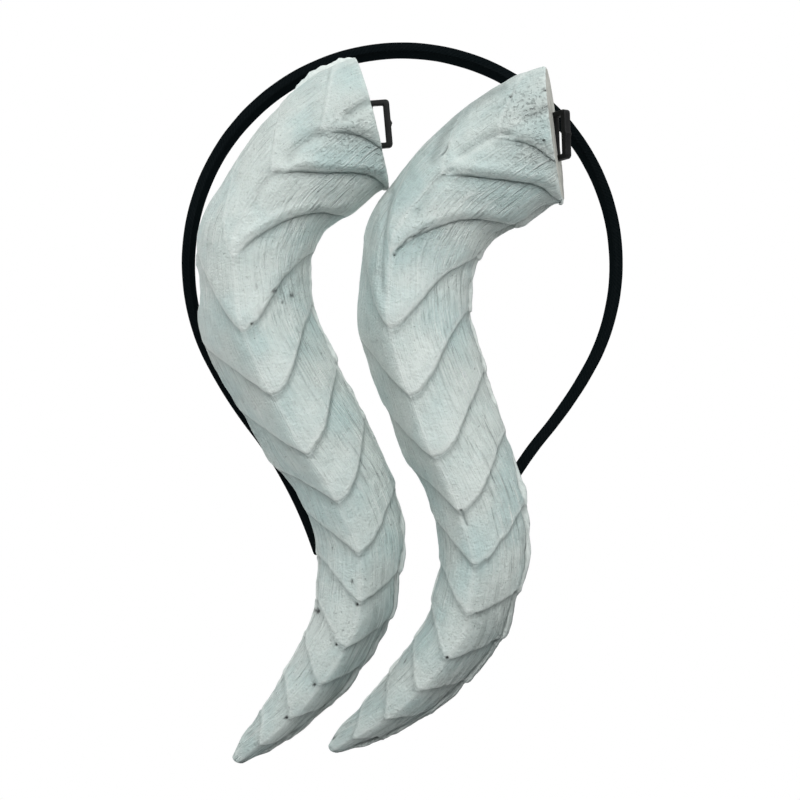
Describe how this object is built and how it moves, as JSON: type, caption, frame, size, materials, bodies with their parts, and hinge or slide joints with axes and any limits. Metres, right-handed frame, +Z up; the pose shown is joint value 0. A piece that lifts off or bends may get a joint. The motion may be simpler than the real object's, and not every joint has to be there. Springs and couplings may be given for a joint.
{
  "type": "devil horns headband",
  "caption": "Black hoop headband lying on its edge with a pair of pale S-shaped scaled horns laid loose over it, each with a slotted slider in its flat base.",
  "frame": {"origin": "on the table under the middle of the whole laid object", "axes": "+Z up from the table, +Y towards the crown of the hoop, +X towards its right arm"},
  "size_m": [0.1282, 0.2084, 0.0387],
  "materials": {
    "band_cloth": "matte black cloth wrap",
    "horn_paint": "brushed pale mint grey paint over cast foam",
    "slider_plastic": "moulded black"
  },
  "bodies": {
    "root": {"headband": "band_cloth", "horn_left": "horn_paint", "horn_right": "horn_paint", "slider_left": "slider_plastic", "slider_right": "slider_plastic"}
  },
  "joints": []
}
